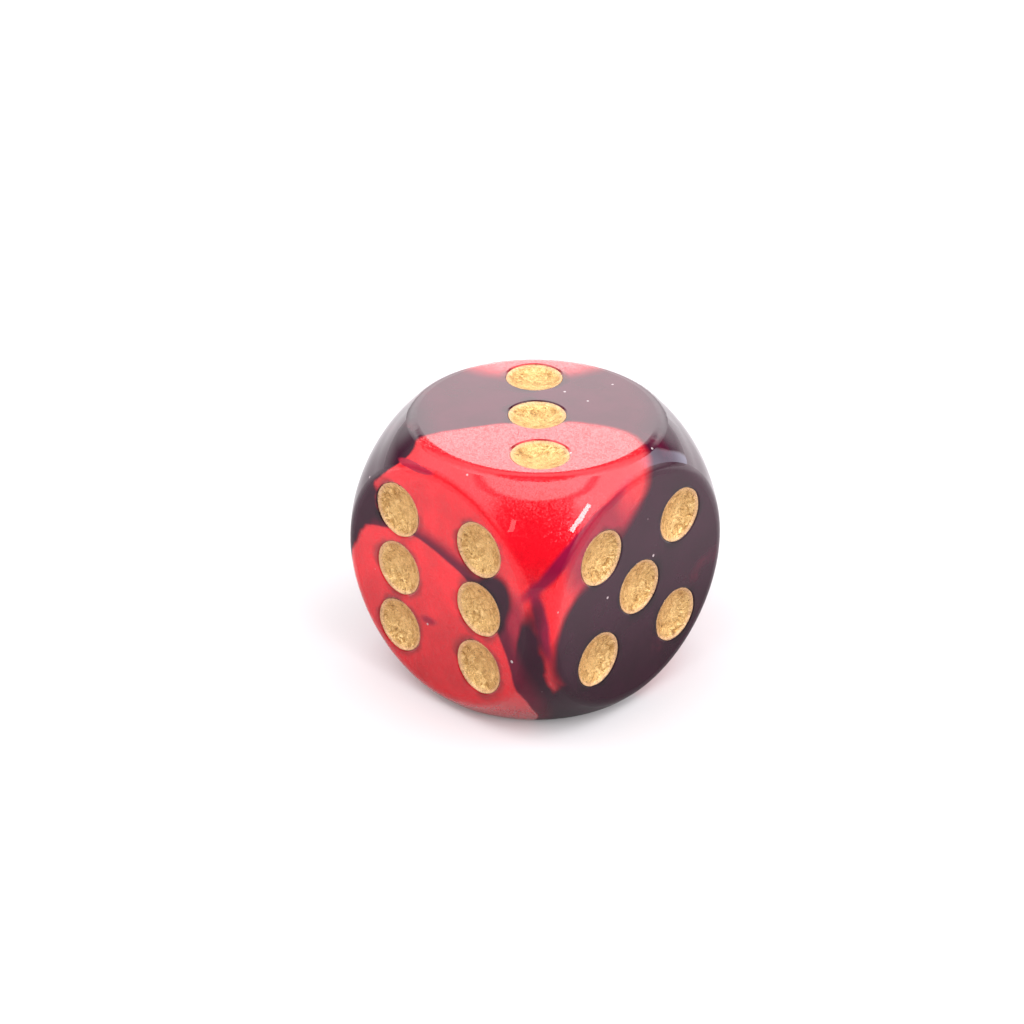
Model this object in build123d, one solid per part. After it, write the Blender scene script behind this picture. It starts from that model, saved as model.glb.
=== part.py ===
"""A six-sided game die: a two-colour resin body with flat faces and a spherical outline, and one coat of
metallic paint in the dish of each pip.

Frame: the origin is the centre of the body, +Z points out of the face with three pips, -Y out of the face with
six and +X out of the face with five. Opposite faces add up to seven. All sizes are in millimetres.
"""

import os
from math import sqrt

from build123d import *

# Body
ACROSS_FLATS = 16.0
FLAT_RADIUS = 7.1  # each face is a round flat, out to the sphere that rounds the edges and corners
FLAT_EDGE_BLEND = 0.9  # tumbling softens the edge of each flat
HALF = ACROSS_FLATS / 2
OUTLINE_RADIUS = sqrt(HALF**2 + FLAT_RADIUS**2)
SEAM_TURN = 45  # degrees: the seam of the ball then misses the flats
SAME_RADIUS = 0.01  # two radii this close are one

# Pips: where they stand on their face
CORNER_PITCH = 3.3  # from the face's centre to a corner pip, along each side: two, three, four and five
SIX_COLUMN_PITCH = 3.15  # from the face's centre to each column of the six
SIX_ROW_PITCH = 3.8  # between the rows of the six

# Pips: the dish moulded in the body, and the paint in it
DISH_RADIUS = 1.72  # at the flat
DISH_DEPTH = 0.62
DISH_RIM_BLEND = 0.08
PAINT_RADIUS = 1.63  # the coat stops just below the rim
PAINT_MIDDLE = 0.10  # the coat pools in the middle of the dish
PAINT_EDGE = 0.03
DISH_SPHERE = (DISH_RADIUS**2 + DISH_DEPTH**2) / (2 * DISH_DEPTH)


def face_plane(outward, right):
    """The plane of a face: z points out of the body, x to the right as seen from outside."""
    return Plane(origin=Vector(*outward) * HALF, x_dir=right, z_dir=outward)


FACES = {
    1: face_plane((0, 1, 0), (-1, 0, 0)),
    2: face_plane((-1, 0, 0), (0, -1, 0)),
    3: face_plane((0, 0, 1), (1, 0, 0)),
    4: face_plane((0, 0, -1), (1, 0, 0)),
    5: face_plane((1, 0, 0), (0, 1, 0)),
    6: face_plane((0, -1, 0), (1, 0, 0)),
}

# Each pip as (column, row), counted from the face's centre
CENTRE = [(0, 0)]
DIAGONAL = [(-1, 1), (1, -1)]
OTHER_DIAGONAL = [(-1, -1), (1, 1)]
PIPS = {
    1: CENTRE,
    2: DIAGONAL,
    3: DIAGONAL + CENTRE,
    4: DIAGONAL + OTHER_DIAGONAL,
    5: DIAGONAL + OTHER_DIAGONAL + CENTRE,
    6: [(column, row) for column in (-1, 1) for row in (1, 0, -1)],
}

COLUMN_WORDS = {-1: "left", 1: "right"}
ROW_WORDS = {
    3: {1: "back", -1: "front"},
    4: {1: "front", -1: "back"},
}
SIDE_ROW_WORDS = {1: "upper", 0: "middle", -1: "lower"}


def pip_name(number, column, row):
    """Such as pip_6_upper_left: the face's number, then the place as seen from outside the face."""
    if column == 0:
        return f"pip_{number}_centre"
    rows = ROW_WORDS.get(number, SIDE_ROW_WORDS)
    return f"pip_{number}_{rows[row]}_{COLUMN_WORDS[column]}"


def pip_place(number, column, row):
    """The frame of one pip: its origin on the flat, z out of the body."""
    column_pitch = SIX_COLUMN_PITCH if number == 6 else CORNER_PITCH
    row_pitch = SIX_ROW_PITCH if number == 6 else CORNER_PITCH
    return FACES[number] * Location((column * column_pitch, row * row_pitch, 0))


def depth_of_dish(radius):
    """How far the dish lies below the flat, at a radius from the pip's axis."""
    return sqrt(DISH_SPHERE**2 - radius**2) - (DISH_SPHERE - DISH_DEPTH)


def flats_blank():
    """A ball with six flats, each flat's edge softened."""
    ball = Rot(0, 0, SEAM_TURN) * Sphere(OUTLINE_RADIUS)
    blank = ball & Box(ACROSS_FLATS, ACROSS_FLATS, ACROSS_FLATS)
    return fillet(blank.edges().filter_by(GeomType.CIRCLE).filter_by(is_flat_edge), FLAT_EDGE_BLEND)


def is_flat_edge(edge):
    """True for the round edge of a flat, and not for a seam of the ball."""
    return abs(edge.radius - FLAT_RADIUS) < SAME_RADIUS and edge.is_closed


def is_dish_rim(edge):
    """True for the round edge between a dish and its flat."""
    return abs(edge.radius - DISH_RADIUS) < SAME_RADIUS and edge.is_closed


def die_body(places):
    """The moulded body: the blank with a dish at each pip's place."""
    cutter = Pos(0, 0, DISH_SPHERE - DISH_DEPTH) * Sphere(DISH_SPHERE)
    body = flats_blank() - [place * cutter for place in places]
    rims = body.edges().filter_by(GeomType.CIRCLE).filter_by(is_dish_rim)
    return fillet(rims, DISH_RIM_BLEND)


def paint_coat():
    """The paint in one dish, at the origin: it lies on the dish and is thickest in the middle."""
    middle_depth = DISH_DEPTH - PAINT_MIDDLE
    edge_depth = depth_of_dish(PAINT_RADIUS) - PAINT_EDGE
    rise = middle_depth - edge_depth
    paint_sphere = (PAINT_RADIUS**2 + rise**2) / (2 * rise)
    underside = Pos(0, 0, DISH_SPHERE - DISH_DEPTH) * Sphere(DISH_SPHERE)
    upper_side = Pos(0, 0, paint_sphere - middle_depth) * Sphere(paint_sphere)
    drum = Pos(0, 0, -DISH_DEPTH) * Cylinder(PAINT_RADIUS, 2 * DISH_DEPTH)
    return (underside & drum) - upper_side


def main():
    os.makedirs("parts", exist_ok=True)
    places = {
        pip_name(number, column, row): pip_place(number, column, row)
        for number, pips in PIPS.items()
        for column, row in pips
    }
    export_step(die_body(places.values()), "parts/die_body.step")
    coat = paint_coat()
    for name, place in places.items():
        export_step(place * coat, f"parts/{name}.step")
    print(f"outline radius {OUTLINE_RADIUS:.3f} mm, dish sphere {DISH_SPHERE:.3f} mm, {len(places)} pips")


main()
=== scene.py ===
# %% [markdown]
# # A marbled die with painted pips
#
# The die is one moulded block of resin, in which a pearly red and a near-black plum were poured together
# and left to swirl. A shallow round dish is moulded for every pip, and each dish holds one coat of gold
# paint. The block comes from the CAD frame as it is, because its shape is right: the work on it is its
# finish. The paint is modelled again, with the lumps and the wavering edge that a brush leaves.

# %% Load the frame
from math import cos, pi, radians, sin, sqrt

import bmesh
import bpy
from mathutils import Matrix, Quaternion, Vector, noise


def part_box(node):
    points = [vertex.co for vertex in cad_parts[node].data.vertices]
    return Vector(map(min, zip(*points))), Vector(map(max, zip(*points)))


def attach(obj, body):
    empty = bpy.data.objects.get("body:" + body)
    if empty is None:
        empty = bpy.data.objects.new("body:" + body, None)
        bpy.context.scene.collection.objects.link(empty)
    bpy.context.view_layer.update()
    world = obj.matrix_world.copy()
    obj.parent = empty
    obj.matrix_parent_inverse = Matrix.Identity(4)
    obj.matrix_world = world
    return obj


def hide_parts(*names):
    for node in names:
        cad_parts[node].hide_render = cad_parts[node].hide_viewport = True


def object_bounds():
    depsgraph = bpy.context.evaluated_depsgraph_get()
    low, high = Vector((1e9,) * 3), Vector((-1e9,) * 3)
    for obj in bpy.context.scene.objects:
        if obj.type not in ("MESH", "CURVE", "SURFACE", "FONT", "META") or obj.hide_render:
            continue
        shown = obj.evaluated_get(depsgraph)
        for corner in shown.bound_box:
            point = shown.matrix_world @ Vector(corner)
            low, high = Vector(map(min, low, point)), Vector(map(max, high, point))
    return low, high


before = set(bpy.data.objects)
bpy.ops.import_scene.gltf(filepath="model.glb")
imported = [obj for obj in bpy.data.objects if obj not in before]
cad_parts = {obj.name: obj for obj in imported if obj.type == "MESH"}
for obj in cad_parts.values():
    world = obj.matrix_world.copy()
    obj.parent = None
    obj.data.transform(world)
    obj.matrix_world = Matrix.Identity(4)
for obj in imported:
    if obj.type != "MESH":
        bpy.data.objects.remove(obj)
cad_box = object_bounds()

MM = 0.001
lowest, highest = (Vector(corner) for corner in cad_box)
half = highest.z
floor_level = lowest.z
print(f"the die is {2 * half / MM:.1f} mm across its flats and stands at z = {floor_level / MM:.1f} mm")

# %% [markdown]
# ## Shader sums as Python
#
# A finish is a graph of nodes. Written node by node it is hard to read, so one small class wraps an output
# socket and lets Python's own signs add the Math nodes: `1 - mask * 0.5` makes two of them. Colours and
# vectors don't go through Math, which would turn them grey, so they have calls of their own.

# %% A socket that can be reckoned with
class Wire:
    """One output of a node. Arithmetic on it adds Math nodes to its graph."""

    def __init__(self, graph, socket):
        self.graph = graph
        self.socket = socket

    def __add__(self, other):
        return self.graph.math("ADD", self, other)

    __radd__ = __add__

    def __sub__(self, other):
        return self.graph.math("SUBTRACT", self, other)

    def __rsub__(self, other):
        return self.graph.math("SUBTRACT", other, self)

    def __mul__(self, other):
        return self.graph.math("MULTIPLY", self, other)

    __rmul__ = __mul__

    def __truediv__(self, other):
        return self.graph.math("DIVIDE", self, other)


# %% A graph that makes nodes
COLOUR_A, COLOUR_B, COLOUR_RESULT = 6, 7, 2  # the sockets of a Mix node that is set to colours


class Graph:
    """The nodes of one material or of the world."""

    def __init__(self, owner):
        owner.use_nodes = True
        self.tree = owner.node_tree
        self.tree.nodes.clear()

    def add(self, kind, settings=None, inputs=None, output=0):
        """Adds a node: its settings first, then a value or a wire for each socket named."""
        node = self.tree.nodes.new(kind)
        for name, value in (settings or {}).items():
            setattr(node, name, value)
        for name, value in (inputs or {}).items():
            if isinstance(value, Wire):
                self.tree.links.new(value.socket, node.inputs[name])
            else:
                node.inputs[name].default_value = value
        return Wire(self, node.outputs[output]) if node.outputs else node

    def math(self, operation, first, second):
        return self.add("ShaderNodeMath", {"operation": operation}, {0: first, 1: second})

    def vector(self, operation, first, second):
        output = "Value" if operation in ("DOT_PRODUCT", "DISTANCE") else 0
        return self.add("ShaderNodeVectorMath", {"operation": operation}, {0: first, 1: second}, output)

    def scaled(self, vector, factor):
        return self.add("ShaderNodeVectorMath", {"operation": "SCALE"}, {0: vector, "Scale": factor})

    def length(self, vector):
        return self.add("ShaderNodeVectorMath", {"operation": "LENGTH"}, {0: vector}, output="Value")

    def along(self, axis, vector):
        """How far a vector goes along the axis X, Y or Z."""
        return self.add("ShaderNodeSeparateXYZ", {}, {0: vector}, output=axis)

    def step(self, value, start, end, low=0.0, high=1.0):
        """Goes softly from low to high as the value goes from start to end."""
        bounds = {"Value": value, "From Min": start, "From Max": end, "To Min": low, "To Max": high}
        return self.add("ShaderNodeMapRange", {"interpolation_type": "SMOOTHSTEP"}, bounds)

    def mix(self, factor, first, second, blend="MIX"):
        settings = {"data_type": "RGBA", "blend_type": blend}
        inputs = {0: factor, COLOUR_A: first, COLOUR_B: second}
        return self.add("ShaderNodeMix", settings, inputs, COLOUR_RESULT)

    def tinted(self, shade, factor):
        """A colour times a number, which keeps its hue."""
        grey = self.add("ShaderNodeCombineColor", {}, {0: factor, 1: factor, 2: factor})
        return self.mix(1.0, shade, grey, "MULTIPLY")

    def noise(self, place, scale, detail=2.0, roughness=0.5, distortion=0.0, output="Fac"):
        inputs = {"Vector": place, "Scale": scale, "Detail": detail, "Roughness": roughness}
        return self.add("ShaderNodeTexNoise", {}, inputs | {"Distortion": distortion}, output)

    def drift(self, place, scale, detail):
        """Noise in three directions, as much one way as the other."""
        return self.centred(self.noise(place, scale, detail, output="Color"))

    def centred(self, shade):
        """A colour from 0 to 1, as a vector from -0.5 to 0.5."""
        return self.vector("SUBTRACT", shade, (0.5, 0.5, 0.5))

    def cells(self, place, scale, output):
        inputs = {"Vector": place, "Scale": scale}
        return self.add("ShaderNodeTexVoronoi", {"feature": "F1"}, inputs, output)

    def millimetres(self):
        """The place on the object, in millimetres, so that every scale below is per millimetre."""
        return self.scaled(self.add("ShaderNodeTexCoord", output="Object"), 1 / MM)


def colour(red, green, blue):
    """A linear colour, in the four numbers that a colour socket holds."""
    return (red, green, blue, 1.0)


# %% [markdown]
# ## The marbled resin
#
# Two resins were poured into one mould, so the swirl goes through the whole block and a face only cuts it.
# A picture on the faces would break at every edge. Here each tongue of resin is an ellipsoid in space, and
# the tongues are laid over each other in the order in which they lap: the inside of one is red or dark, and
# its edge is as sharp or as smoky as that tongue is. Where a red edge fades into the dark, it goes through
# crimson by itself.

# %% The resins
PLUM = colour(0.032, 0.005, 0.016)
SMOKE = colour(0.075, 0.006, 0.022)
DUSK = colour(0.13, 0.006, 0.026)
WINE = colour(0.20, 0.004, 0.030)
CRIMSON = colour(0.34, 0.006, 0.03)
RED = colour(0.74, 0.003, 0.013)

# Each tongue: its resin, centre and three radii in mm, turn in degrees, and how soft its edge is, in mm
TONGUES = [
    (SMOKE, (-0.5, 0.5, 9.0), (9.5, 7.0, 2.6), (0, 0, -45), 1.0),  # a smoky pool in the top
    (RED, (-7.8, 7.8, 8.0), (6.0, 6.0, 5.6), (0, 0, 0), 1.3),  # the far top corner
    (RED, (2.4, -8.9, 6.2), (6.0, 11.4, 5.1), (4, 1, -19), 0.28),  # the near top corner
    (RED, (7.7, -5.3, 0.2), (5.2, 2.0, 4.3), (6, 9, -46), 0.15),  # a ribbon down the left of the five
    (RED, (6.7, -6.8, 0.9), (1.1, 2.3, 5.4), (1, -3, -30), 0.35),  # the tail of the near corner
    (WINE, (7.7, -5.2, 4.75), (0.40, 5.0, 1.5), (-51.7, -41.2, -150.9), 0.9),  # a dark line round the five
    (WINE, (7.4, -7.45, 0.7), (0.9, 0.36, 2.5), (11, 0, -45), 0.5),  # and on, down the left of the ribbon
    (CRIMSON, (8.9, -3.4, 4.4), (1.15, 4.8, 4.4), (0, 0, 0), 0.5),  # the smoky red on the five
    (PLUM, (9.5, 4.4, 3.35), (6.0, 13.1, 4.2), (28.4, 0, 0), 1.0),  # the five itself
    (PLUM, (9.0, -4.05, -1.6), (2.5, 3.22, 3.9), (0, 0, 0), 0.4),  # its lower left, beside the ribbon
    (PLUM, (7.6, -3.9, -5.4), (2.4, 2.9, 2.3), (0, 0, 0), 0.3),  # the dark below the ribbon
    (RED, (0.0, -8.6, 4.6), (5.25, 2.6, 3.3), (0, 0, 0), 0.12),  # the upper half of the six
    (CRIMSON, (5.8, -8.0, -1.4), (0.9, 1.3, 3.4), (0, 4, 0), 0.6),  # a smoky band down the right of the six
    (PLUM, (6.8, -5.2, -1.65), (1.1, 3.4, 5.2), (-1, 6, -3), 0.25),  # a dark strip down the upright edge
    (DUSK, (-2.75, -8.0, -6.95), (9.3, 5.9, 11.1), (16, 24, 13), 0.5),  # the vein across the six
    (PLUM, (4.1, -8.1, 0.7), (1.4, 2.3, 2.3), (0, 23, 0), 0.45),  # the dark pool where the vein ends
    (RED, (-3.5, -8.0, -7.4), (9.3, 5.8, 10.9), (16, 24, 13), 0.10),  # the lower half of the six
    (CRIMSON, (-0.7, -8.0, -2.4), (0.6, 0.6, 0.25), (0, -12, 0), 0.3),  # a dark fleck in it
    (PLUM, (-10.2, -6.0, 5.6), (6.6, 1.4, 12.3), (-9, 26, -16), 0.12),  # the left edge of the six
    (CRIMSON, (-2.2, -7.9, 6.95), (1.8, 0.6, 0.2), (0, -6, 0), 0.15),  # a crack along its top edge
    (RED, (2.5, 9.6, -2.0), (8.5, 4.6, 4.2), (0, 28, 8), 0.25),  # a band across the one
    (PLUM, (3.6, 9.4, -0.4), (6.0, 3.2, 1.5), (0, 34, 0), 0.4),  # a dark curl in it
    (CRIMSON, (-3.4, 9.0, 3.6), (4.2, 1.8, 0.9), (0, -22, 0), 0.5),  # a smoky wisp above it
    (RED, (-9.4, 4.4, -2.8), (3.6, 6.6, 3.8), (30, 0, 0), 0.25),  # a pool on the two
    (PLUM, (-9.2, 5.4, -1.6), (2.8, 5.0, 1.2), (42, 0, 0), 0.35),  # a dark curl in it
    (CRIMSON, (-9.0, -2.4, 3.8), (1.9, 4.0, 0.8), (-32, 0, 0), 0.5),  # a smoky wisp beside it
    (RED, (5.0, 4.4, -9.2), (5.6, 4.6, 3.2), (0, 0, 30), 0.25),  # a pool on the four
    (PLUM, (3.4, 5.2, -9.0), (4.4, 1.5, 2.2), (0, 0, 34), 0.35),  # a dark curl in it
]


def tongue_mask(graph, place, centre, radii, turn, soft):
    """1 inside a tongue of resin and 0 outside it."""
    inputs = {"Vector": place, "Location": centre, "Scale": radii, "Rotation": [radians(a) for a in turn]}
    ball = graph.add("ShaderNodeMapping", {"vector_type": "TEXTURE"}, inputs)
    depth = (1 - graph.length(ball)) * (sum(radii) / 3)
    return graph.step(depth, -soft, soft)


# %% How far the resins were stirred
STIR = 0.5  # mm, everywhere
RIPPLES_PER_MM = 0.35
STIR_FAR = 4.2  # mm, in broad curls, on the three faces away from the near corner
CURLS_PER_MM = 0.17
FAR_FROM, FAR_TO = 6.9, 8.1  # mm towards a far face, where those curls set in


def stirred(graph, place):
    """A place, moved a little by noise, so that no tongue keeps the outline of an ellipsoid."""
    left = 0 - graph.along("X", place)
    back = graph.along("Y", place)
    under = 0 - graph.along("Z", place)
    outermost = graph.math("MAXIMUM", graph.math("MAXIMUM", left, back), under)
    far = graph.step(outermost, FAR_FROM, FAR_TO)
    ripple = graph.scaled(graph.drift(place, RIPPLES_PER_MM, 3.0), STIR)
    curl = graph.scaled(graph.drift(place, CURLS_PER_MM, 0.5), far * STIR_FAR)
    return graph.vector("ADD", graph.vector("ADD", place, ripple), curl)


# %% The swirl
WISPS_PER_MM = 0.28
WISP_FROM, WISP_FULL = 0.52, 0.80  # how high the noise is where a wisp begins, and where it is full


def swirl(graph, place):
    """The colour of the resin at a place, before its pearl."""
    wisp = graph.step(graph.noise(place, WISPS_PER_MM, 5.0, 0.6), WISP_FROM, WISP_FULL)
    shade = graph.mix(wisp, PLUM, DUSK)
    for resin, centre, radii, turn, soft in TONGUES:
        shade = graph.mix(tongue_mask(graph, place, centre, radii, turn, soft), shade, resin)
    return shade


# %% [markdown]
# ## Pearl under a clear skin
#
# The red carries mica: flakes a few hundredths of a millimetre wide that lie roughly along the flow. They
# are why the die looks silky, and why the rounded edges glitter where the flat faces don't. Every cell of
# a fine Voronoi pattern tips the surface a little its own way, which is what a flake does. The dark resin
# has no mica, so the two are shaders of their own, mixed by the swirl. The clear coat over both keeps the
# true surface, so the room is still mirrored sharply. It is a coat on a shader and not a second shell of
# clear resin, because nothing shows how thick the real skin is.

# %% Round the pips
DISH_RADIUS = 1.72 * MM


def box_of(node):
    """A node's lowest and highest corners, as vectors."""
    return [Vector(corner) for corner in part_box(node)]


def nearest_pip(graph, place):
    """How far a place, in mm, is from the middle of the pip nearest to it."""
    nearest = 100.0
    for node in pips:
        near, far = box_of(node)
        away = graph.vector("DISTANCE", place, (near + far) / 2 / MM)
        nearest = graph.math("MINIMUM", nearest, away)
    return nearest


pips = sorted(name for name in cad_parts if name.startswith("pip_"))
print(f"{len(pips)} pips")

# %% The shade of the resin
SILK = (0.84, 1.06)  # the darkest and the lightest silk
DISH_SHADE = 0.60 * MM  # painted shade: how far past its rim a dish darkens the resin
DISH_SHADE_DARK = 0.45
DISH_SHADE_WAVER = 0.4  # mm
PAINTED_LOW_SHADE = 0.64  # painted shade: how dark the resin is made at the bottom
SPECKS_PER_MM = 0.5
SPECK_SIZE = 0.042  # mm
SPECK = colour(0.42, 0.34, 0.35)


def resin_shade(graph, place, resin):
    """The resin with its silk and its few pale specks, and painted shade round the dishes and at the
    bottom.
    """
    silk = graph.step(graph.noise(place, 0.5, 4.0), 0.3, 0.7, *SILK)
    # Painted shade: the resin is made darker in a wavering ring just outside each dish.
    waver = graph.step(graph.noise(place, 0.6, 2.0), 0.35, 0.65, 0.0, DISH_SHADE_WAVER)
    away = nearest_pip(graph, place) + waver
    dish_shade = graph.step(away, DISH_RADIUS / MM, (DISH_RADIUS + DISH_SHADE) / MM, DISH_SHADE_DARK, 1.0)
    # Painted shade: the resin is made darker towards the bottom of the die.
    painted_low_shade = graph.step(graph.along("Z", place), -7.5, 3.0, PAINTED_LOW_SHADE, 1.0)
    shade = graph.tinted(resin, silk * dish_shade * painted_low_shade)
    speck = graph.cells(place, SPECKS_PER_MM, "Distance")
    return graph.mix(graph.step(speck, SPECK_SIZE * 1.3, SPECK_SIZE * 0.7), shade, SPECK)


# %% The flakes and the polish
FLAKES_PER_MM = 14.0
FLAKE_TILT = 0.22
POLISH_LOW = 0.42  # how strong the clear coat is at the bottom
POLISH_FRONT = 0.7  # and on the six


def flaked_normal(graph, place):
    """The surface's normal, tipped by a different flake in every cell."""
    tilt = graph.scaled(graph.centred(graph.cells(place, FLAKES_PER_MM, "Color")), FLAKE_TILT)
    normal = graph.add("ShaderNodeNewGeometry", output="Normal")
    tipped = graph.vector("ADD", normal, tilt)
    return graph.add("ShaderNodeVectorMath", {"operation": "NORMALIZE"}, {0: tipped})


def polish(graph, place):
    """How strong the clear coat is. Hands and tables dull it low down and on the six."""
    low = graph.step(graph.along("Z", place), -8.0, 4.0, POLISH_LOW, 1.0)
    front = graph.step(graph.along("Y", place), -8.0, -5.5, POLISH_FRONT, 1.0)
    return low * front


# %% The resin's finish
COAT_ROUGHNESS = 0.02
COAT_IOR = 1.38
DARK = {"Roughness": 0.5, "Specular IOR Level": 0.0}
PEARL = {"Metallic": 0.25, "Roughness": 0.22, "Specular IOR Level": 0.26}
MICA_FROM, MICA_FULL = 0.1, 0.7  # how red a resin is that has no mica, and one that is full of it


def resin_finish():
    material = bpy.data.materials.new("marbled_resin")
    graph = Graph(material)
    place = graph.millimetres()
    resin = swirl(graph, stirred(graph, place))
    mica = graph.step(graph.add("ShaderNodeSeparateColor", {}, {0: resin}), MICA_FROM, MICA_FULL)
    skin = {
        "Base Color": resin_shade(graph, place, resin),
        "Coat Weight": polish(graph, place),
        "Coat Roughness": COAT_ROUGHNESS,
        "Coat IOR": COAT_IOR,
    }
    dark = graph.add("ShaderNodeBsdfPrincipled", {}, skin | DARK)
    flaked = {"Normal": flaked_normal(graph, place)}
    pearl = graph.add("ShaderNodeBsdfPrincipled", {}, skin | PEARL | flaked)
    shader = graph.add("ShaderNodeMixShader", {}, {0: mica, 1: dark, 2: pearl})
    graph.add("ShaderNodeOutputMaterial", {}, {"Surface": shader})
    return material


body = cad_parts["die_body"]
body.data.materials.clear()
body.data.materials.append(resin_finish())
print(f"die_body has {len(body.data.polygons)} faces and {len(TONGUES)} tongues of resin")

# %% [markdown]
# ## The gold paint
#
# Bronze powder in lacquer, dabbed into each dish and wiped off the flats. It shows the powder's grain,
# painted shade in the hollows of its crumple and painted highlight on its ridges and in its middle, and an
# edge that isn't quite round. A coat could be a flat disc with a painted picture of lumps, but light would
# slide over it. So each coat is a thin solid of its own: a section is spun round, and then every point of
# its top is moved as the brush left it.

# %% The gold's shades
GOLD_OLD = colour(0.46, 0.24, 0.07)
GOLD_NEW = colour(0.66, 0.40, 0.15)
GOLD_RIDGE_HIGHLIGHT = colour(0.90, 0.62, 0.28)
GOLD_HOLLOW_SHADE = colour(0.26, 0.13, 0.045)
GOLD_RIM = colour(0.80, 0.50, 0.30)
GOLD_MIDDLE_HIGHLIGHT = colour(0.93, 0.63, 0.28)
LACQUER = colour(0.10, 0.045, 0.015)


def gold_shade(graph, place, cloud, crumple):
    """Old and new gold in clouds, painted highlight on the ridges and in the middle, painted shade in the
    hollows, bare lacquer pits.
    """
    away = nearest_pip(graph, place)
    pit = graph.step(graph.noise(place, 8.0, 3.0, 0.7), 0.38, 0.31)
    gold = graph.mix(graph.step(cloud, 0.35, 0.65), GOLD_OLD, GOLD_NEW)
    # Painted highlight on the ridges of the crumple, and painted shade in its hollows.
    gold = graph.mix(graph.step(crumple, 0.42, 0.68), gold, GOLD_RIDGE_HIGHLIGHT)
    gold = graph.mix(graph.step(crumple, 0.44, 0.32), gold, GOLD_HOLLOW_SHADE)
    gold = graph.mix(graph.step(away, 1.38, 1.58) * 0.6, gold, GOLD_RIM)
    # Painted highlight: the gold is made lighter towards the middle of each dish.
    gold = graph.mix(graph.step(away, 1.3, 0.2) * 0.3, gold, GOLD_MIDDLE_HIGHLIGHT)
    return graph.mix(pit, gold, LACQUER)


# %% The paint's finish
CLOUDS_PER_MM = 1.3
CRUMPLES_PER_MM = 3.4
GRAINS_PER_MM = 13.0
BUMP_HEIGHT = 0.07 * MM
PAINT_METALLIC = 0.95
PAINT_ROUGHNESS = (0.25, 0.40)  # in the smoothest and in the coarsest grain


def paint_finish():
    material = bpy.data.materials.new("gold_paint")
    graph = Graph(material)
    place = graph.millimetres()
    cloud = graph.noise(place, CLOUDS_PER_MM, 3.0, 0.6)
    crumple = graph.noise(place, CRUMPLES_PER_MM, 6.0, 0.68, distortion=1.0)
    grain = graph.noise(place, GRAINS_PER_MM, 2.0, 0.7)
    height = cloud * 2.0 + crumple * 2.0 + grain * 0.4
    relief = {"Strength": 0.9, "Distance": BUMP_HEIGHT, "Height": height}
    shader = graph.add("ShaderNodeBsdfPrincipled", {}, {
        "Base Color": gold_shade(graph, place, cloud, crumple),
        "Metallic": PAINT_METALLIC,
        "Roughness": graph.step(grain, 0.3, 0.7, *PAINT_ROUGHNESS),
        "Normal": graph.add("ShaderNodeBump", {}, relief),
    })
    graph.add("ShaderNodeOutputMaterial", {}, {"Surface": shader})
    return material


gold_paint = paint_finish()

# %% The section of one coat
RIM_THICKNESS = 0.03 * MM
MIDDLE_THICKNESS = 0.10 * MM
TOP_RINGS = 28
UNDER_RINGS = 10


def dish_depth_at(radius, depth):
    """How far the dish lies below the flat."""
    ball = (DISH_RADIUS**2 + depth**2) / (2 * depth)
    return sqrt(ball**2 - radius**2) - (ball - depth)


def coat_section(radius, depth):
    """Points from the middle of the top, out over the rim and back along the dish, as (x, z)."""
    rim = dish_depth_at(radius, depth) - RIM_THICKNESS
    middle = depth - MIDDLE_THICKNESS
    top = []
    for ring in range(TOP_RINGS + 1):
        x = radius * ring / TOP_RINGS
        top.append((x, -rim - (middle - rim) * (1 - (x / radius) ** 2)))
    under = []
    for ring in range(UNDER_RINGS, -1, -1):
        x = radius * ring / UNDER_RINGS
        under.append((x, -dish_depth_at(x, depth)))
    return top + under


# %% One coat of paint
STEPS = 96
MERGE = 0.002 * MM
LUMP, LUMPS_PER_MM = 0.022 * MM, 1.7
GRAIN, GRAIN_PER_MM = 0.008 * MM, 5.0
WAVER, WAVES_PER_MM = 0.03 * MM, 1.3
WAVER_FROM = 0.8  # of the radius
SEED_APART = 7.3  # how far apart the coats lie in the noise, so that no two are alike


def coat_mesh(name, radius, depth, seed):
    """A coat at the origin: z out of the face, the flat at z = 0."""
    build = bmesh.new()
    section = coat_section(radius, depth)
    line = [build.verts.new((x, 0, z)) for x, z in section]
    edges = [build.edges.new(pair) for pair in zip(line, line[1:])]
    turned = {"cent": (0, 0, 0), "axis": (0, 0, 1), "angle": 2 * pi, "steps": STEPS}
    bmesh.ops.spin(build, geom=line + edges, use_merge=True, **turned)
    bmesh.ops.remove_doubles(build, verts=build.verts[:], dist=MERGE)
    bmesh.ops.recalc_face_normals(build, faces=build.faces[:])
    for vert in build.verts:
        brush(vert, radius, depth, seed)
    for face in build.faces:
        face.smooth = True
    mesh = bpy.data.meshes.new(name)
    build.to_mesh(mesh)
    build.free()
    return mesh


def brush(vert, radius, depth, seed):
    """Moves one point of a coat as the brush left it."""
    x, y, z = vert.co
    away = sqrt(x * x + y * y)
    spot = Vector((x / MM, y / MM, seed * SEED_APART))
    thickness = z + dish_depth_at(min(away, radius), depth)
    if thickness > RIM_THICKNESS / 2:
        fade = 1 - (away / radius) ** 8
        lumps = noise.noise(spot * LUMPS_PER_MM) * LUMP + noise.noise(spot * GRAIN_PER_MM) * GRAIN
        vert.co.z += lumps * fade
    if away > radius * WAVER_FROM:
        reach = 1 + noise.noise(spot * WAVES_PER_MM) * WAVER / radius * (away / radius) ** 4
        vert.co.x *= reach
        vert.co.y *= reach


# %% All the coats
def outward_axis(node):
    """The way that a pip faces: along the axis in which its paint is thinnest."""
    near, far = box_of(node)
    size = far - near
    axis = min(range(3), key=lambda i: size[i])
    outward = Vector((0, 0, 0))
    outward[axis] = 1 if near[axis] + far[axis] > 0 else -1
    return outward


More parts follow.
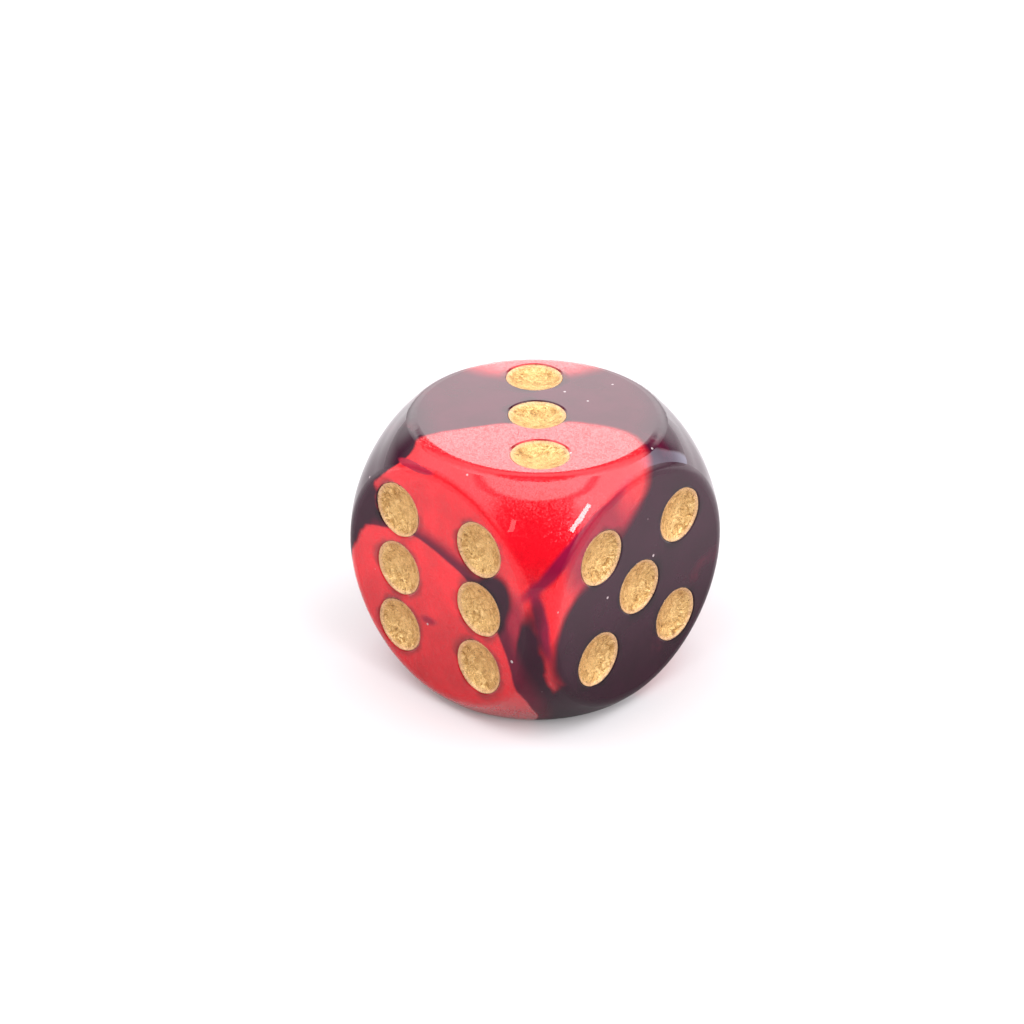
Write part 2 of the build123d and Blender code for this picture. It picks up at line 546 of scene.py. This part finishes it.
def lay_coat(node, seed):
    near, far = box_of(node)
    outward = outward_axis(node)
    centre = (near + far) / 2
    middle = centre - outward * centre.dot(outward) + outward * half
    depth = half - min(abs(near.dot(outward)), abs(far.dot(outward)))
    radius = max(far - near) / 2
    name = node.replace("pip", "paint")
    coat = bpy.data.objects.new(name, coat_mesh(name, radius, depth, seed))
    bpy.context.collection.objects.link(coat)
    turn = outward.to_track_quat("Z", "Y").to_matrix().to_4x4()
    coat.data.transform(Matrix.Translation(middle) @ turn)
    coat.data.materials.append(gold_paint)
    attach(coat, "root")
    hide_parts(node)
    return coat


coats = [lay_coat(node, seed) for seed, node in enumerate(pips)]
print(f"{len(coats)} coats of paint, {len(coats[0].data.polygons)} faces each")

# %% [markdown]
# ## The studio
#
# A pale sheet under a plain room of light. A glossy ball shows the whole room, so the room matters more
# than the lamps. It has a bright ring overhead, pale walls behind and at both sides with a thin dark seam
# above them, and a dark front, so that the near corner keeps its full red. The room could be built of real
# panels. Here it is a world shader, because a wall in it has soft edges and lies at no distance, and two
# small lamps add the short highlights that only a sharp edge gives.

# %% Where the camera stands
AZIMUTH, ELEVATION, ROLL = 42.64, 30.56, 0.51
DISTANCE = 0.1440
LENS = 87.4
AIM_LEFT = 1.37 * MM
AIM_ABOVE = 1.40 * MM
print(f"the camera is {DISTANCE / MM:.0f} mm away and looks down at {ELEVATION:.0f} degrees")


def bearing(azimuth, elevation):
    """The direction at an azimuth from the front, counted towards +X, and a height, both in degrees."""
    across, up = radians(azimuth), radians(elevation)
    return Vector((sin(across) * cos(up), -cos(across) * cos(up), sin(up)))


# %% The sheet it stands on
SHEET_RADIUS = 3.0
SHEET_STEPS = 96
SHEET_WHITE = colour(0.54, 0.515, 0.53)
LIGHT_WHITE = colour(1, 1, 1)
SHEET_GLOW = 0.12
SHEET_GLOW_FAR = 0.85  # more, far behind the die
FAR_START, FAR_END = 45.0, 115.0  # mm from the die, where that begins and is full
BEHIND_START, BEHIND_END = 10.0, -50.0  # mm in front of the die


def seen_by(graph, *kinds):
    """1 for the rays of these kinds, and 0 for the rays that light things."""
    rays = [graph.add("ShaderNodeLightPath", output=f"Is {kind} Ray") for kind in kinds]
    return graph.math("MINIMUM", sum(rays[1:], rays[0]), 1.0)


def paper_finish():
    """White paper, which glows a little for the eye and in mirrors, so that it stays white far away."""
    material = bpy.data.materials.new("paper")
    graph = Graph(material)
    place = graph.millimetres()
    far = graph.step(graph.length(place), FAR_START, FAR_END)
    ahead = graph.vector("DOT_PRODUCT", place, bearing(AZIMUTH, 0))
    glow = far * graph.step(ahead, BEHIND_START, BEHIND_END) * SHEET_GLOW_FAR + SHEET_GLOW
    glow = glow * seen_by(graph, "Camera", "Glossy", "Transmission")
    paper = graph.add("ShaderNodeBsdfDiffuse", {}, {"Color": SHEET_WHITE})
    shine = graph.add("ShaderNodeEmission", {}, {"Color": LIGHT_WHITE, "Strength": glow})
    shader = graph.add("ShaderNodeAddShader", {}, {0: paper, 1: shine})
    graph.add("ShaderNodeOutputMaterial", {}, {"Surface": shader})
    return material


def paper_sheet():
    build = bmesh.new()
    bmesh.ops.create_circle(build, cap_ends=True, segments=SHEET_STEPS, radius=SHEET_RADIUS)
    bmesh.ops.translate(build, verts=build.verts[:], vec=(0, 0, floor_level))
    mesh = bpy.data.meshes.new("sheet")
    build.to_mesh(mesh)
    build.free()
    mesh.materials.append(paper_finish())
    sheet = bpy.data.objects.new("sheet", mesh)
    bpy.context.collection.objects.link(sheet)
    return sheet


paper_sheet()
print(f"the sheet is {2 * SHEET_RADIUS:.0f} m across and lies at z = {floor_level / MM:.1f} mm")

# %% The camera
back = bearing(AZIMUTH, ELEVATION)
right = bearing(AZIMUTH + 90, 0)
target = back.cross(right) * AIM_ABOVE - right * AIM_LEFT
lens = bpy.data.cameras.new("camera")
lens.lens = LENS
lens.clip_start = 0.001
camera = bpy.data.objects.new("camera", lens)
bpy.context.collection.objects.link(camera)
camera.location = back * DISTANCE
camera.rotation_mode = "QUATERNION"
level_view = (target - camera.location).to_track_quat("-Z", "Y")
camera.rotation_quaternion = level_view @ Quaternion((0, 0, 1), radians(ROLL))
bpy.context.scene.camera = camera
bpy.context.scene.view_settings.view_transform = "Standard"
print(f"the lens is {LENS:.1f} mm long and aims {AIM_ABOVE / MM:.1f} mm above the middle of the die")

# %% The ring of light
# In the room, up is the sine of a height above the horizon, and ahead goes from 1 on the camera's side of
# the die to -1 behind it.
SEAM_BACK, SEAM_FRONT = 0.55, 0.79  # how high the dark seam runs
RING_LIFT = 0.20  # how far above the seam the ring starts behind the die
RING_BLUR_FRONT, RING_BLUR_BACK = 0.012, 0.08
RING_GLOW_FRONT, RING_GLOW_BACK = 5.0, 1.8
RING_END = sin(radians(73))
RING_END_BLUR = 0.015
ZENITH = 0.12  # of the ring's own light


def ring_light(graph, up, ahead, behind, seam):
    """The ring, from the seam up to a dim zenith."""
    blur = graph.step(ahead, -0.2, -0.8, RING_BLUR_FRONT, RING_BLUR_BACK)
    start = graph.step(up - seam - behind * RING_LIFT, blur * -1.0, blur)
    end = graph.step(up, RING_END + RING_END_BLUR, RING_END - RING_END_BLUR, ZENITH, 1.0)
    return start * end * graph.step(ahead, -0.6, 0.3, RING_GLOW_BACK, RING_GLOW_FRONT)


# %% The pale walls
# Each wall: its azimuth, its reach to each side, the heights at which it starts and is full, and its glow
WALLS = [
    (-137, 44, -12, 27, 3.6),  # behind, which greys the top face
    (118, 40, -5, 38, 4.0),  # on the right
    (-38, 46, 4, 42, 3.0),  # on the left
]
WALL_FADE = 9  # degrees
WALL_LIFT = 0.07  # how far past the seam the walls go behind the die
WALL_TOP_START, WALL_TOP_END = 0.022, 0.046  # how far below the seam they end and are full
WALL_TOP_BLUR = 0.10  # more, behind


def wall_light(graph, look, level, up, behind, seam):
    """The light of all the walls, which end just below the seam."""
    light = 0.0
    for azimuth, reach, foot, full, glow in WALLS:
        across = graph.vector("DOT_PRODUCT", look, bearing(azimuth, 0)) / level
        side = graph.step(across, cos(radians(reach + WALL_FADE)), cos(radians(reach - WALL_FADE)))
        light = side * graph.step(up, sin(radians(foot)), sin(radians(full))) * glow + light
    below = seam - up + behind * WALL_LIFT
    return light * graph.step(below, WALL_TOP_START, WALL_TOP_END + behind * WALL_TOP_BLUR)


# %% The gap of daylight
GAP = bearing(166, 16)
GAP_LEAN = -50  # degrees
GAP_LENGTH, GAP_WIDTH = 0.42, 0.042  # half of each, in radians
GAP_GLOW = 3.2
DAYLIGHT = colour(0.80, 0.84, 1.0)


def gap_mask(graph, look):
    """A gap far behind on the right, shaped like a slim lens."""
    turn = GAP.to_track_quat("Z", "Y") @ Quaternion((0, 0, 1), radians(GAP_LEAN))
    along = graph.vector("DOT_PRODUCT", look, turn @ Vector((1 / GAP_LENGTH, 0, 0)))
    across = graph.vector("DOT_PRODUCT", look, turn @ Vector((0, 1 / GAP_WIDTH, 0)))
    outward = graph.vector("DOT_PRODUCT", look, GAP)
    return graph.step(along * along + across * across, 1.4, 0.5) * graph.step(outward, 0.0, 0.1)


# %% The room
HORIZON_TOP, HORIZON_FULL = 0.22, -0.02
HORIZON_GLOW_FRONT, HORIZON_GLOW_BACK = 0.6, 1.6
SHADE_GLOW = 0.04
NEARLY_ONE = 1.0001  # so that nothing is divided by zero straight overhead


def room_light():
    world = bpy.data.worlds.new("room")
    bpy.context.scene.world = world
    graph = Graph(world)
    look = graph.add("ShaderNodeTexCoord", output="Generated")
    up = graph.along("Z", look)
    level = graph.math("SQRT", NEARLY_ONE - up * up, 0.0)
    ahead = graph.vector("DOT_PRODUCT", look, bearing(AZIMUTH, 0)) / level
    behind = graph.step(ahead, -0.5, -0.8)
    seam = graph.step(ahead, -0.7, 0.35, SEAM_BACK, SEAM_FRONT)
    ring = ring_light(graph, up, ahead, behind, seam)
    walls = wall_light(graph, look, level, up, behind, seam)
    horizon = graph.step(ahead, 0.4, -0.4, HORIZON_GLOW_FRONT, HORIZON_GLOW_BACK)
    horizon = graph.step(up, HORIZON_TOP, HORIZON_FULL) * horizon
    gap = gap_mask(graph, look)
    glow = graph.math("MAXIMUM", ring + walls, horizon) + gap * GAP_GLOW + SHADE_GLOW
    tint = graph.mix(gap, LIGHT_WHITE, DAYLIGHT)
    air = graph.add("ShaderNodeBackground", {}, {"Color": tint, "Strength": glow})
    graph.add("ShaderNodeOutputWorld", {}, {"Surface": air})


room_light()
print(f"the room has a ring of light, {len(WALLS)} pale walls and a gap of daylight")

# %% The lamps
def softbox(name, azimuth, elevation, distance, width, height, glow, roll=0):
    """A soft light that faces the die. glow is how bright its face is, where 1 is a lit white sheet."""
    lamp = bpy.data.lights.new(name, "AREA")
    lamp.shape = "RECTANGLE"
    lamp.size = width
    lamp.size_y = height
    lamp.energy = glow * pi * width * height
    light = bpy.data.objects.new(name, lamp)
    bpy.context.collection.objects.link(light)
    light.location = bearing(azimuth, elevation) * distance
    turn = bearing(azimuth, elevation).to_track_quat("Z", "Y") @ Quaternion((0, 0, 1), radians(roll))
    light.rotation_euler = turn.to_euler()
    return light


softbox("window", 77, 38, distance=1.2, width=0.42, height=0.045, glow=26, roll=34)
softbox("spark", 26, 36, distance=1.2, width=0.06, height=0.14, glow=5)
fill = softbox("fill", 43, 25, distance=1.4, width=1.6, height=1.2, glow=0.5)
fill.visible_glossy = False
print(f"{len(bpy.data.lights)} lamps")

# %% Finish
bpy.context.view_layer.update()
